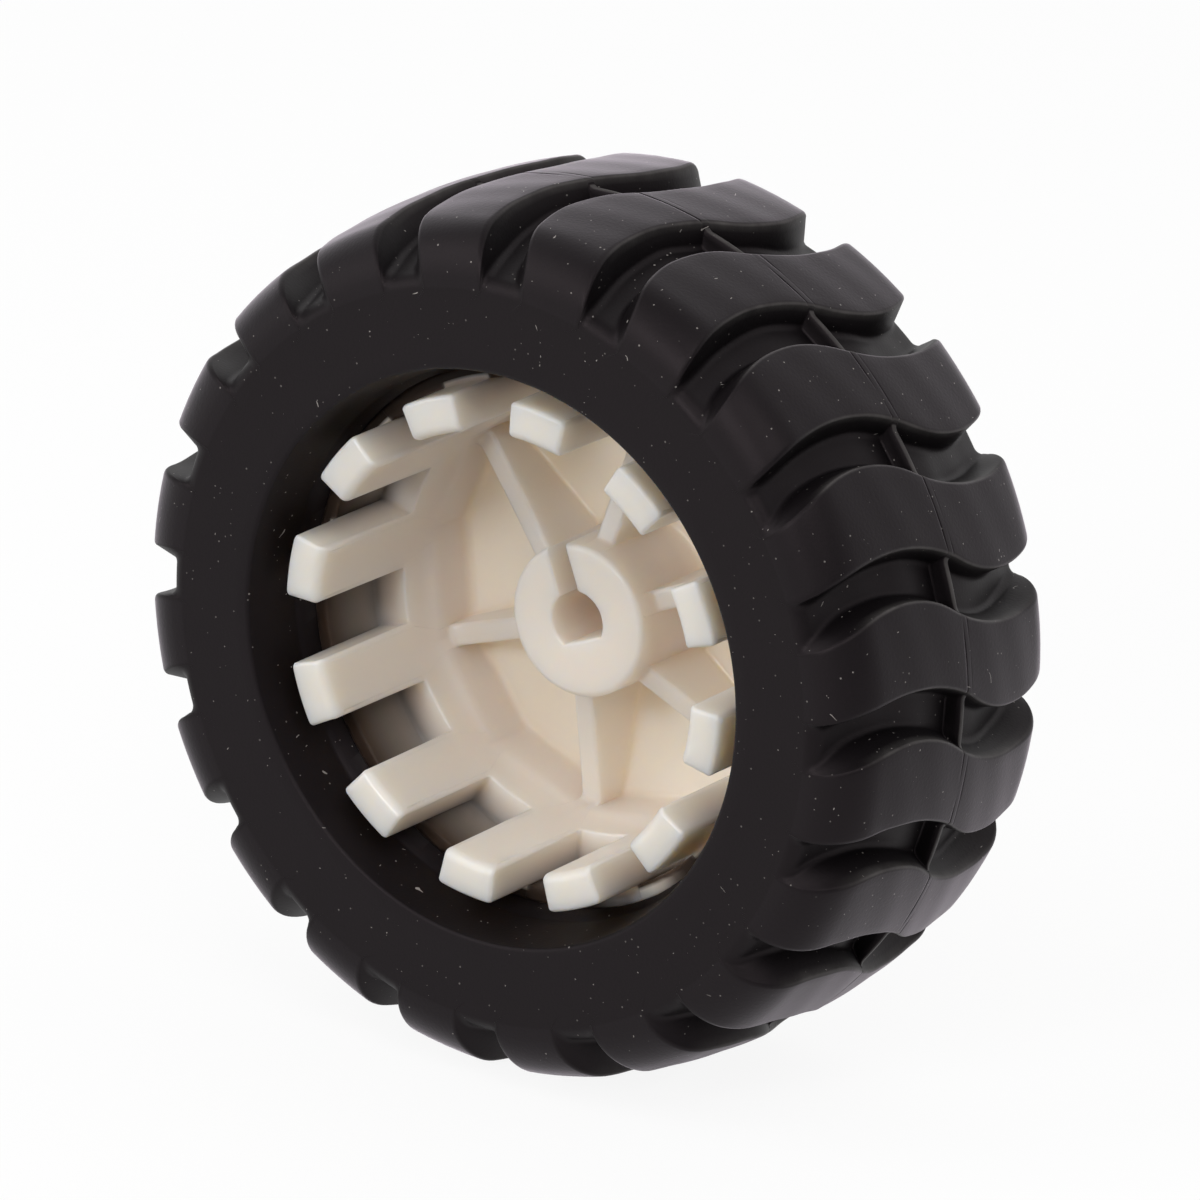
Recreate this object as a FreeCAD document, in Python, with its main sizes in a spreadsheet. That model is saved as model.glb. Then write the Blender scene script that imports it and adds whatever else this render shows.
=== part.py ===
"""Robot car wheel: a white moulded hub pressed into a black rubber tyre.

The wheel turns about the Y axis, its centre is the origin and it stands on its tread, +Z up.
The toothed side, which the motor's shaft enters, faces -Y. Sizes are in millimetres, and
angles run from +X towards +Z, which is anticlockwise as seen from the toothed side.
"""
import FreeCAD, Part
import math
import os
import re

import Sketcher

SIZES = [
    # tyre
    ("tyre_radius", 21.5),
    ("tyre_half_width", 8.5),
    ("crown_half_width", 1.8),
    ("crown_edge_radius", 20.99),
    ("crown_edge_place", 6.2),
    ("shoulder_radius", 20.2),
    ("shoulder_place", 7.8),
    ("shoulder_edge_radius", 18.7),
    ("band_inner_radius", 17.8),
    ("band_half_width", 8.2),
    ("floor_radius", 20.2),
    ("floor_half_width", 2.3),
    ("floor_edge_radius", 18.35),
    ("fin_radius", 21.1),
    ("fin_root_thickness", 0.36),
    ("fin_tip_thickness", 0.24),
    ("lip_radius", 14.0),
    ("lip_step_radius", 13.6),
    ("lip_step_place", 5.3),
    ("lip_step_length", 0.2),
    ("back_lip_length", 0.7),
    # grooves between the S-shaped lugs
    ("groove_count", 20),
    ("groove_phase", 36.0),
    ("groove_width", 2.3),
    ("groove_bend_radius", 8.0),
    ("groove_slant", 34.5),
    ("groove_end", 9.6),
    ("groove_sketch_radius", 22.0),
    ("groove_depth", 4.0),
    # hub rim and cup
    ("hub_phase", 23.4),
    ("rim_radius", 13.3),
    ("rim_front", 4.19),
    ("rim_back", 7.6),
    ("rim_back_chamfer", 0.3),
    ("collar_inner_radius", 12.55),
    ("root_front", 0.47),
    ("cup_mouth_radius", 10.7),
    ("pocket_corner_radius", 10.62),
    ("pocket_front", 1.3),
    ("web_front", 4.2),
    ("web_back", 5.4),
    ("dish_floor_radius", 11.5),
    ("dish_mouth_radius", 11.9),
    # teeth
    ("tooth_count", 12),
    ("tooth_tip", 7.54),
    ("tooth_root_depth", 1.0),
    ("tooth_outer_half_width", 1.57),
    ("tooth_inner_half_width", 1.46),
    ("tooth_tip_chamfer", 0.3),
    # boss, ribs and shaft hole
    ("boss_radius", 3.75),
    ("boss_front", 1.345),
    ("boss_chamfer", 0.2),
    ("rib_count", 6),
    ("rib_thickness", 1.15),
    ("rib_start_radius", 3.0),
    ("rib_inner_top", 0.0),
    ("rib_outer_top", 2.4),
    ("rib_outer_radius", 10.9),
    ("rib_sink", 0.4),
    ("bore_radius", 1.45),
    ("bore_flat_distance", 0.95),
    ("bore_floor", 4.5),
    ("slot_half_width", 0.525),
    ("slot_reach", 4.2),
    ("slot_floor", 3.9),
]

doc = FreeCAD.newDocument("robot_car_wheel")
sheet = doc.addObject("Spreadsheet::Sheet", "sizes")
for row, (alias, value) in enumerate(SIZES, start=1):
    sheet.set(f"A{row}", alias)
    sheet.set(f"B{row}", str(value))
    sheet.setAlias(f"B{row}", alias)
doc.recompute()
ALIASES = {alias for alias, value in SIZES}


def bound(formula):
    """The formula with each sheet alias written as a reference to its cell."""
    return re.sub(r"[a-z_]+", lambda word: f"sizes.{word[0]}" if word[0] in ALIASES else word[0], formula)


def measure(formula):
    """Value of a formula in the sheet's aliases."""
    return float(sheet.evalExpression(formula))


def origin_feature(body, role):
    """The body's own origin plane or axis with this role."""
    return next(item for item in body.Origin.OriginFeatures if item.Role == role)


def new_sketch(body, name, role, offset="0"):
    """Sketch on one of the body's origin planes, moved along the plane's normal by a formula."""
    sketch = body.newObject("Sketcher::SketchObject", name)
    sketch.AttachmentSupport = [(origin_feature(body, role), "")]
    sketch.MapMode = "FlatFace"
    sketch.setExpression("AttachmentOffset.Base.z", bound(offset))
    return sketch


def arc_between(start, end, radius):
    """Arc from start to end; a positive radius turns anticlockwise, a negative one clockwise."""
    first, last = (start, end) if radius > 0 else (end, start)
    chord = last - first
    rise = math.sqrt(radius ** 2 - (chord.Length / 2) ** 2)
    side = FreeCAD.Vector(-chord.y, chord.x, 0).normalize()
    centre = (first + last) * 0.5 + side * rise
    circle = Part.Circle(centre, FreeCAD.Vector(0, 0, 1), abs(radius))
    angles = [math.atan2(point.y - centre.y, point.x - centre.x) for point in (first, last)]
    return Part.ArcOfCircle(circle, angles[0], angles[1])


def draw_outline(sketch, corners):
    """Closed outline through corners of formulas (x, y) or (x, y, radius of the arc that follows).

    A radius formula that starts with a minus sign makes an arc that turns clockwise.
    """
    points = [FreeCAD.Vector(measure(corner[0]), measure(corner[1]), 0) for corner in corners]
    ends = []
    for index, corner in enumerate(corners):
        start = points[index]
        end = points[(index + 1) % len(points)]
        if len(corner) == 2:
            geometry = sketch.addGeometry(Part.LineSegment(start, end), False)
            ends.append((geometry, 1, 2))
            continue
        radius = measure(corner[2])
        geometry = sketch.addGeometry(arc_between(start, end, radius), False)
        ends.append((geometry, 1, 2) if radius > 0 else (geometry, 2, 1))
        bend = sketch.addConstraint(Sketcher.Constraint("Radius", geometry, abs(radius)))
        sketch.setExpression(f"Constraints[{bend}]", bound(corner[2].lstrip("- ")))
    for index, corner in enumerate(corners):
        geometry, first, last = ends[index]
        follower, follower_first, follower_last = ends[(index + 1) % len(ends)]
        sketch.addConstraint(Sketcher.Constraint("Coincident", geometry, last, follower, follower_first))
        for kind, formula in (("DistanceX", corner[0]), ("DistanceY", corner[1])):
            place = Sketcher.Constraint(kind, -1, 1, geometry, first, measure(formula))
            number = sketch.addConstraint(place)
            sketch.setExpression(f"Constraints[{number}]", bound(formula))


def add_revolution(body, name, corners):
    """Solid of revolution about the wheel's axis; corners are (radius, place along the axis)."""
    sketch = new_sketch(body, f"{name}_profile", "XY_Plane")
    draw_outline(sketch, corners)
    turn = body.newObject("PartDesign::Revolution", name)
    turn.Profile = sketch
    turn.ReferenceAxis = (sketch, ["V_Axis"])
    turn.Angle = 360
    return turn


def add_pattern(body, feature, count, mode):
    """Copies of a feature, or of the whole body so far, spread evenly round the wheel's axis."""
    pattern = body.newObject("PartDesign::PolarPattern", f"{feature.Name}_ring")
    pattern.TransformMode = mode
    if mode == "Features":
        pattern.Originals = [feature]
    pattern.Axis = (origin_feature(body, "Y_Axis"), [""])
    pattern.Angle = 360
    pattern.setExpression("Occurrences", bound(count))
    body.Tip = pattern
    return pattern


def groove_outline():
    """S-shaped channel of even width: two arcs that meet at its middle with one tangent.

    The first coordinate runs along the axle and the second round the tread.
    """
    half = "groove_width / 2"
    inner = f"groove_bend_radius - {half}"
    outer = f"groove_bend_radius + {half}"
    across = f"{half} * sin( groove_slant )"
    along = f"{half} * cos( groove_slant )"
    centre_height = "groove_bend_radius * cos( groove_slant )"
    run = "( groove_end - groove_bend_radius * sin( groove_slant ) )"
    inner_end = f"{centre_height} - sqrt( ( {inner} ) ^ 2 - {run} ^ 2 )"
    outer_end = f"{centre_height} - sqrt( ( {outer} ) ^ 2 - {run} ^ 2 )"
    return [
        ("-1 * groove_end", f"-1 * ( {outer_end} )", f"- ( {outer} )"),
        (across, along, inner),
        ("groove_end", inner_end),
        ("groove_end", outer_end, f"- ( {outer} )"),
        (f"-1 * {across}", f"-1 * {along}", inner),
        ("-1 * groove_end", f"-1 * ( {inner_end} )"),
    ]


def make_tyre():
    """Rubber tyre: a crowned band cut by S-shaped grooves, on a carcass that gives the groove floors."""
    body = doc.addObject("PartDesign::Body", "tyre")
    body.Label = "tyre"
    add_revolution(body, "tread_band", [
        ("shoulder_edge_radius", "-1 * tyre_half_width"),
        ("shoulder_radius", "-1 * shoulder_place"),
        ("crown_edge_radius", "-1 * crown_edge_place"),
        ("tyre_radius", "-1 * crown_half_width"),
        ("tyre_radius", "crown_half_width"),
        ("crown_edge_radius", "crown_edge_place"),
        ("shoulder_radius", "shoulder_place"),
        ("shoulder_edge_radius", "tyre_half_width"),
        ("band_inner_radius", "band_half_width"),
        ("band_inner_radius", "-1 * band_half_width"),
    ])
    sketch = new_sketch(body, "groove_outline", "YZ_Plane", "groove_sketch_radius")
    draw_outline(sketch, groove_outline())
    groove = body.newObject("PartDesign::Pocket", "groove")
    groove.Profile = sketch
    groove.setExpression("Length", bound("groove_depth"))
    add_pattern(body, groove, "groove_count", "Features")
    add_revolution(body, "carcass", [
        ("lip_radius", "-1 * tyre_half_width"),
        ("floor_edge_radius", "-1 * tyre_half_width"),
        ("floor_radius", "-1 * floor_half_width"),
        ("floor_radius", "fin_root_thickness / -2"),
        ("fin_radius", "fin_tip_thickness / -2"),
        ("fin_radius", "fin_tip_thickness / 2"),
        ("floor_radius", "fin_root_thickness / 2"),
        ("floor_radius", "floor_half_width"),
        ("floor_edge_radius", "tyre_half_width"),
        ("lip_radius", "tyre_half_width"),
        ("rim_radius", "tyre_half_width - back_lip_length"),
        ("rim_radius", "lip_step_length - lip_step_place"),
        ("lip_step_radius", "-1 * lip_step_place"),
    ])
    turn = FreeCAD.Rotation(FreeCAD.Vector(0, 1, 0), -measure("groove_phase"))
    body.Placement = FreeCAD.Placement(FreeCAD.Vector(0, 0, 0), turn)
    return body


def add_teeth(body):
    """Ring of square teeth with eased tips, standing on the cup's wall towards the motor."""
    sketch = new_sketch(body, "tooth_outline", "XZ_Plane", "-1 * tooth_root_depth")
    draw_outline(sketch, [
        ("cup_mouth_radius", "-1 * tooth_inner_half_width"),
        ("collar_inner_radius", "-1 * tooth_outer_half_width"),
        ("collar_inner_radius", "tooth_outer_half_width"),
        ("cup_mouth_radius", "tooth_inner_half_width"),
    ])
    tooth = body.newObject("PartDesign::Pad", "tooth")
    tooth.Profile = sketch
    tooth.setExpression("Length", bound("tooth_tip + tooth_root_depth"))
    doc.recompute()
    tip = measure("-1 * tooth_tip")
    edges = []
    for number, edge in enumerate(tooth.Shape.Edges, start=1):
        if edge.BoundBox.YMax < tip + edge.Tolerance:
            edges.append(f"Edge{number}")
    chamfer = body.newObject("PartDesign::Chamfer", "tooth_chamfer")
    chamfer.Base = (tooth, edges)
    chamfer.setExpression("Size", bound("tooth_tip_chamfer"))
    doc.recompute()
    add_pattern(body, chamfer, "tooth_count", "Whole shape")


def cut_pocket(body):
    """Twelve-sided pocket down to the web, with a corner below each tooth."""
    sketch = new_sketch(body, "pocket_outline", "XZ_Plane", "-1 * pocket_front")
    turn = "360 / tooth_count"
    draw_outline(sketch, [
        (f"pocket_corner_radius * cos( {turn} * {side} )", f"pocket_corner_radius * sin( {turn} * {side} )")
        for side in range(int(measure("tooth_count")))
    ])
    pocket = body.newObject("PartDesign::Pocket", "pocket")
    pocket.Profile = sketch
    pocket.setExpression("Length", bound("web_front - pocket_front"))


def add_ribs(body):
    """Ribs from the boss to the cup's wall, their tops sloping down outwards."""
    sketch = new_sketch(body, "rib_outline", "XY_Plane")
    draw_outline(sketch, [
        ("rib_start_radius", "rib_inner_top"),
        ("rib_outer_radius", "rib_outer_top"),
        ("rib_outer_radius", "web_front + rib_sink"),
        ("rib_start_radius", "web_front + rib_sink"),
    ])
    rib = body.newObject("PartDesign::Pad", "rib")
    rib.Profile = sketch
    rib.SideType = "Symmetric"
    rib.setExpression("Length", bound("rib_thickness"))
    add_pattern(body, rib, "rib_count", "Features")


def cut_shaft_hole(body):
    """Blind D-shaped hole for the shaft, and the slot opposite its flat that lets the boss spring."""
    chord_half = "sqrt( bore_radius ^ 2 - bore_flat_distance ^ 2 )"
    hole_sketch = new_sketch(body, "hole_outline", "XZ_Plane", "boss_front")
    draw_outline(hole_sketch, [
        (chord_half, "-1 * bore_flat_distance", "bore_radius"),
        ("0", "bore_radius", "bore_radius"),
        (f"-1 * {chord_half}", "-1 * bore_flat_distance"),
    ])
    hole = body.newObject("PartDesign::Pocket", "shaft_hole")
    hole.Profile = hole_sketch
    hole.setExpression("Length", bound("boss_front + bore_floor"))
    slot_sketch = new_sketch(body, "slot_outline", "XZ_Plane", "boss_front")
    draw_outline(slot_sketch, [
        ("-1 * slot_half_width", "0"),
        ("slot_half_width", "0"),
        ("slot_half_width", "slot_reach"),
        ("-1 * slot_half_width", "slot_reach"),
    ])
    slot = body.newObject("PartDesign::Pocket", "boss_slot")
    slot.Profile = slot_sketch
    slot.setExpression("Length", bound("boss_front + slot_floor"))
    body.Tip = slot


def make_hub():
    """Hub moulding: rim, closed web, toothed cup, ribbed boss and split D-shaped shaft hole."""
    body = doc.addObject("PartDesign::Body", "hub")
    body.Label = "hub"
    add_teeth(body)
    add_revolution(body, "cup", [
        ("0", "pocket_front"),
        ("cup_mouth_radius", "pocket_front"),
        ("cup_mouth_radius", "-1 * root_front"),
        ("collar_inner_radius", "-1 * root_front"),
        ("collar_inner_radius", "-1 * rim_front"),
        ("rim_radius", "-1 * rim_front"),
        ("rim_radius", "rim_back - rim_back_chamfer"),
        ("rim_radius - rim_back_chamfer", "rim_back"),
        ("dish_mouth_radius", "rim_back"),
        ("dish_floor_radius", "web_back"),
        ("0", "web_back"),
    ])
    cut_pocket(body)
    add_revolution(body, "boss", [
        ("0", "-1 * boss_front"),
        ("boss_radius - boss_chamfer", "-1 * boss_front"),
        ("boss_radius", "boss_chamfer - boss_front"),
        ("boss_radius", "web_front + rib_sink"),
        ("0", "web_front + rib_sink"),
    ])
    add_ribs(body)
    cut_shaft_hole(body)
    turn = FreeCAD.Rotation(FreeCAD.Vector(0, 1, 0), -measure("hub_phase"))
    body.Placement = FreeCAD.Placement(FreeCAD.Vector(0, 0, 0), turn)
    return body


pieces = [make_hub(), make_tyre()]
doc.recompute()
for item in doc.Objects:
    if "Invalid" in item.State or "Error" in item.State:
        raise RuntimeError(f"{item.Name} failed: {item.State}")
os.makedirs("parts", exist_ok=True)
for piece in pieces:
    shape = piece.Shape
    if shape.isNull() or not shape.isValid() or len(shape.Solids) != 1:
        raise RuntimeError(f"{piece.Label} is not one valid solid")
    shape.exportStep(f"parts/{piece.Label}.step")
    print(piece.Label, shape.BoundBox)
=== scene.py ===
"""Robot car wheel: a white moulded hub with twelve teeth in a black rubber tyre with S-shaped lugs.

The wheel turns about Y, its centre is the origin, and the toothed side faces -Y. Sizes are in
millimetres until a mesh is made. Angles run from +X towards +Z, in degrees where they are named.
A place is a distance along Y, a radius a distance from Y.
"""
import math

import bpy
import numpy as np
from mathutils import Matrix, Vector


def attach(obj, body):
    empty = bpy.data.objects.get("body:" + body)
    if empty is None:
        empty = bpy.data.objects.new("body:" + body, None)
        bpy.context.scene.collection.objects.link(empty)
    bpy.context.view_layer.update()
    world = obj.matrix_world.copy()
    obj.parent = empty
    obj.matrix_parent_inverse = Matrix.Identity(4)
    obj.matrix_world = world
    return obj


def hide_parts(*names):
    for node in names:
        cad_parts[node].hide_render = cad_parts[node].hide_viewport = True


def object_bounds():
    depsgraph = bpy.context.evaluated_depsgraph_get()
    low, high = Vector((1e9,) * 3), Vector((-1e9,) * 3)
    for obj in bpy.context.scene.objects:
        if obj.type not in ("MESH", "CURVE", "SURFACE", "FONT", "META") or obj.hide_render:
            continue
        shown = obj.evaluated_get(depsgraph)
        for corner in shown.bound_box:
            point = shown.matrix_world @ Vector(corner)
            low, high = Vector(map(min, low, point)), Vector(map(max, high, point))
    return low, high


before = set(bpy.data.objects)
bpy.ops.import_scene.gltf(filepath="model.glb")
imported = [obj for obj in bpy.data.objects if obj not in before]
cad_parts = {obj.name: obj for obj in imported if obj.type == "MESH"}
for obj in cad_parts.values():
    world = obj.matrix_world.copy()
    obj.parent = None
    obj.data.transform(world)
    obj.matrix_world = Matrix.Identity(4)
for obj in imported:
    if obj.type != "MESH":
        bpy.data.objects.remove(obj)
cad_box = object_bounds()

MM = 0.001
TINY = 1e-6

# Tyre: crown, round shoulders, flat sidewalls and the bore with its lip.
TYRE_RADIUS = 21.5
TYRE_HALF_WIDTH = 8.5
CROWN_FALL = 0.0132
CROWN_START = 1.05
CROWN_EDGE = 6.2
CROWN_ROWS = 15
SHOULDER_BEND = 2.72
SHOULDER_END = math.radians(82)
SHOULDER_ROWS = 13
SIDEWALL_RADIUS = 17.9
SIDEWALL_ROWS = 7
FADE_ROWS = 5
LIP_RADIUS = 14.0
LIP_FILLET = 0.25
LIP_ROWS = 3
LIP_STEP_RADIUS = 13.6
LIP_STEP_PLACE = -5.3
SEAT_RADIUS = 13.3
# Rows of the bore as (place, radius): the lead-in behind, the seat on the rim, the step out to the lip.
TYRE_BORE = (
    (7.9, 13.5),
    (7.4, SEAT_RADIUS),
    (6.0, SEAT_RADIUS),
    (0.0, SEAT_RADIUS),
    (LIP_STEP_PLACE + 0.2, SEAT_RADIUS),
    (LIP_STEP_PLACE + 0.05, LIP_STEP_RADIUS - 0.05),
    (LIP_STEP_PLACE - 0.2, LIP_STEP_RADIUS + 0.02),
)

# Tyre: the S-shaped grooves, their floors and their walls; at each end of a groove one wall is softer.
GROOVE_COUNT = 20
GROOVE_PHASE = 36.0
GROOVE_HALF_WIDTH = 1.23
GROOVE_BEND = 8.0
GROOVE_SLANT = math.radians(34.5)
GROOVE_FLOOR_COLUMNS = 7
LUG_FACE_COLUMNS = 7
FLOOR_RADIUS = 20.2
FLOOR_FLAT = 2.3
FLOOR_SLOPE = 0.273
FLOOR_EASE = 0.55
FLOOR_ROUNDING = 0.6
WALL_DRAFT = math.tan(math.radians(14.0))
WALL_SPREAD = 0.12
FILLET_ROOM = 1.3
LUG_FOOT_FILLET = 0.28
LUG_TOP_FILLET = 0.17
SOFT_END_START = 3.6
SOFT_END_REACH = 4.2
SOFT_TOP_FILLET = 0.12
SOFT_FOOT_FILLET = 0.1

# Tyre: the fin round the middle of the grooves; the rows of the tread crowd at its side.
FIN_TOP = 21.1
FIN_HALF_THICKNESS = 0.17
FIN_SIDE_EASE = 0.012
# How far from the middle the fin's top carries a painted highlight.
FIN_HIGHLIGHT_REACH = 0.12
FIN_WAVER = 0.05
FIN_WAVER_REACH = 0.5
FIN_ROWS = (0.0, 0.1, 0.14, 0.165, 0.195, 0.23, 0.28, 0.36, 0.5, 0.75)

# Tyre: unevenness of the rubber, the mould's parting line on the lugs, paler lug edges that are a painted
# highlight with some wear, and haze from handling.
# A level is the share of the lug's height that a column has reached.
UNEVEN_HEIGHT = 0.025
UNEVEN_SETTLE = 0.8
PARTING_PLACE = -0.195
PARTING_OTHER_PLACE = 0.165
PARTING_HALF_WIDTH = 0.03
PARTING_DEPTH = 0.05
LUG_LEVEL = 0.9
EDGE_LEVEL = 0.5
GROOVE_LEVEL = 0.3
# The lug edges are paler as a painted highlight with some wear, fading out on the toothed side's shoulder.
HIGHLIT_WORN_OFFSET = 0.02
HIGHLIT_WORN_WIDTH = 0.07
HIGHLIT_WORN_DEPTH = 0.5
HIGHLIT_WORN_END = 7.3
HIGHLIT_WORN_FADE = 1.5
HAZE_WEIGHT = 0.85
HAZE_LEVEL = 0.94

# Hub: the boss with its D hole and slot, the web and its ribs.
HUB_PHASE = 23.4
SLOT_SECTOR = 3
SLOT_FLOOR = 3.9
SLOT_LIP = 0.1
SLOT_FILLET = 0.12
FLAT_ANGLE = 293.4
BORE_RADIUS = 1.45
BORE_FLAT = 0.95
BORE_FLOOR = 4.5
BORE_FOOT = 0.15
BORE_LIP = 0.14
BOSS_RADIUS = 3.75
BOSS_FRONT = -1.345
BOSS_EDGE = 0.26
BOSS_DRAFT = 0.06
WEB_FRONT = 4.2
WEB_BACK = 5.4
WEB_FILLET = 0.4
WEB_MIDDLE = 0.4
RIB_HALF = 0.55
RIB_INNER_TOP = 0.05
RIB_OUTER_TOP = 2.3
RIB_DRAFT = 0.03
RIB_FILLET = 0.25
RIB_REACH = 0.2

# Hub: the twelve-sided pocket, the ledge that leads from it to the round cup, and the teeth.
POCKET_APOTHEM = 10.32
POCKET_FRONT = 1.3
POCKET_EDGE = 0.25
POCKET_FILLET = 0.45
POCKET_CORNER_ROOM = 0.03
POCKET_BLEND = 0.5
LEDGE_STEEPNESS = 1.12
LEDGE_EASE = 0.04
CUP_RADIUS = 10.7
CUP_EDGE = 0.3
TOOTH_COUNT = 12
TOOTH_TIP = -7.54
TOOTH_INNER_HALF = 1.46
TOOTH_OUTER_HALF = 1.57
TOOTH_CORNER = 0.26
TOOTH_FACE_COLUMNS = 7
TOOTH_FOOT = 0.15
TOOTH_GAP_COLUMNS = 4
TIP_INNER_BEND = 0.5
TIP_OUTER_BEND = 0.2
ROOT_FRONT = -0.47
ROOT_EDGE = 0.12
ROOT_FILLET = 0.2
SIDE_FOOT_FILLET = 0.22
SIDE_TOP_FILLET = 0.2
SECTOR = 2 * np.pi / TOOTH_COUNT

# Hub: the thin collar under the tyre's lip with its scrap of moulding flash, the rim and the dish behind.
COLLAR_INNER = 12.55
COLLAR_EDGE = 0.12
RIM_FRONT = -4.19
RIM_RADIUS = 13.3
RIM_BACK = 7.6
RIM_BEND = 0.3
DISH_MOUTH = 11.9
DISH_LIP = 0.15
DISH_FLOOR = 11.5
DISH_DRAFT = 0.05
DISH_FILLET = 0.3
FLASH_ANGLE = -61
FLASH_HALF_ANGLE = 9
FLASH_REACH = 0.12
FLASH_RAGGED = 0.07
# Painted shade in the gaps between the teeth and on the collar: dark brown, darker outwards and towards the
# front, lighter over the flash; the thin collar also lets a little rubber through.
FLASH_SHADE_LIFT = 0.8
COLLAR_PAINTED_SHADE_AND_RUBBER = 0.985
WALL_PAINTED_SHADE = 0.66
WALL_PAINTED_SHADE_FRONT = 0.32

# Looks: sizes of the patterns in millimetres, and how much of the paler colour a lug edge takes as a painted
# highlight with some wear.
BLOOM_SIZE = 5.0
EDGE_PATCH_SIZE = 1.2
RUBBER_GRAIN = 0.16
HIGHLIT_WORN_COVER = 0.75
CLOUD_SIZE = 7.0
PLASTIC_GRAIN = 0.12

# Dust on the rubber: the cells that hold one speck or fibre each, and shares of a cell; sizes in millimetres.
SPECK_CELL = 0.36
SPECK_SHARE = 0.5
SPECK_LARGEST = 0.14
FIBRE_CELL = 0.8
FIBRE_WIDTH = 0.05
FIBRE_STRETCH = 0.16
FIBRE_TURN = (0.5, 0.8, 0.3)
FIBRE_DRIFT = 3.0
FIBRE_BEND = 6.0

# Studio: the floor's side in metres, strengths of light with 1 for white, and the backdrop's directions along
# Y between which it goes from dim to lit.
FLOOR_SIZE = 6.0
FLOOR_GLOW = 0.9
BACKDROP_LIGHT = 1.0
FRONT_LIGHT = 0.03
DIM_UNTIL = -0.2
LIT_FROM = 0.5

# The photograph's camera; the wheel here stands turned about its axis so that it rests on two lugs.
WHEEL_TURN = 3.4
CAMERA_AZIMUTH = 35.396
CAMERA_ELEVATION = 18.195
CAMERA_DISTANCE = 0.614286
CAMERA_LENS = 389.62
SENSOR_WIDTH = 36.0
FRAME_PIXELS = 1200
AXIS_PIXEL = (592.99, 614.25)


def run(start, end, count):
    """Even steps from start to end, the start left out."""
    return np.linspace(start, end, count + 1)[1:]


def between(start, end, count):
    """Even steps from start to end, both ends left out."""
    return np.linspace(start, end, count + 2)[1:-1]


def quarter(count):
    """Angles from 0 to a quarter turn, both ends left out."""
    return between(0, np.pi / 2, count)


def bend(start, end, bulge, count):
    """Quarter ellipse from start to end, both (radius, place); it leaves along the axis named by bulge."""
    turn = run(0, np.pi / 2, count)
    early, late = np.sin(turn), 1 - np.cos(turn)
    first, second = (early, late) if bulge == "radius" else (late, early)
    return start[0] + (end[0] - start[0]) * first, start[1] + (end[1] - start[1]) * second


def smooth_ramp(x, ease):
    """Rises from 0 to x with a soft bend of this width at 0."""
    return 0.5 * (x + np.sqrt(x ** 2 + ease ** 2))


def turned(radius, angle, place):
    """Points at a radius and angle round the wheel's axis, at a place along it."""
    return np.stack(np.broadcast_arrays(radius * np.cos(angle), place, radius * np.sin(angle)), axis=-1)


def step_side(foot, wall, top):
    """Columns that climb one side of a raised feature, from its foot to its top.

    Each column is (lateral, low, high, fraction): the height is low * foot fillet + high * top fillet
    + fraction * (wall height), and lateral is the sideways step in fillets, minus on the foot's side
    and plus on the top's. The wall itself keeps a hair's breadth between its columns.
    """
    turn = quarter(foot)
    over = quarter(top)
    climb = np.linspace(0, 1, wall)
    wall_step = (climb - 0.5) * WALL_SPREAD
    lateral = np.concatenate([[-1.0], np.sin(turn) - 1, wall_step, 1 - np.cos(over), [1.0]])
    low = np.concatenate([[0.0], 1 - np.cos(turn), 1 - climb, np.zeros(top + 1)])
    high = np.concatenate([[0.0], np.zeros(foot), -climb, np.sin(over) - 1, [0.0]])
    fraction = np.concatenate([[0.0], np.zeros(foot), climb, np.ones(top + 1)])
    return lateral, low, high, fraction


def step_heights(side, height, foot_fillet, top_fillet):
    """Share of the height that each column of a side has reached, and its sideways step in millimetres.

    A fillet is one size for all rows or one for each row. Both fillets' heights shrink together where
    the feature is too low for them.
    """
    lateral, low, high, fraction = side
    height = np.maximum(height, TINY)[:, None]
    foot_fillet = np.reshape(foot_fillet, (-1, 1))
    top_fillet = np.reshape(top_fillet, (-1, 1))
    ease = np.minimum(1.0, height / (FILLET_ROOM * (foot_fillet + top_fillet)))
    rise = (low * foot_fillet + high * top_fillet) * ease + fraction * height
    sideways = np.where(lateral < 0, lateral * foot_fillet, lateral * top_fillet)
    return rise / height, np.broadcast_to(sideways, rise.shape)


def make_piece(name, points, material, attributes, poles=False):
    """Mesh from a grid of points (rows, columns, 3) in millimetres, closed round its columns.

    Rows close into a ring as well, or run from one pole to the other, each pole a single point. An
    attribute is a label with one value for each point of the grid.
    """
    rows, columns = points.shape[:2]
    index = np.arange(rows * columns).reshape(rows, columns)
    below = index[:-1] if poles else index
    above = index[1:] if poles else np.roll(index, -1, axis=0)
    corners = [below, np.roll(below, -1, axis=1), np.roll(above, -1, axis=1), above]
    quads = np.stack(corners, axis=-1).reshape(-1, 4)
    places = points.reshape(-1, 3) * MM
    triangles = np.zeros((0, 3), int)
    if poles:
        first, last = len(places), len(places) + 1
        places = np.vstack([places, points[0].mean(axis=0) * MM, points[-1].mean(axis=0) * MM])
        start = np.stack([np.full(columns, first), np.roll(index[0], -1), index[0]], axis=-1)
        end = np.stack([np.full(columns, last), index[-1], np.roll(index[-1], -1)], axis=-1)
        triangles = np.vstack([start, end])
    mesh = bpy.data.meshes.new(name)
    mesh.from_pydata(places.tolist(), [], quads.tolist() + triangles.tolist())
    mesh.polygons.foreach_set("use_smooth", np.ones(len(mesh.polygons), bool))
    for label, values in attributes:
        layer = mesh.attributes.new(label, "FLOAT", "POINT")
        layer.data.foreach_set("value", np.resize(values, len(places)).astype(np.float32))
    mesh.materials.append(material)
    mesh.update()
    piece = bpy.data.objects.new(name, mesh)
    piece.modifiers.new("flat_faces_shade_flat", "WEIGHTED_NORMAL")
    bpy.context.scene.collection.objects.link(piece)
    return piece


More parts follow.
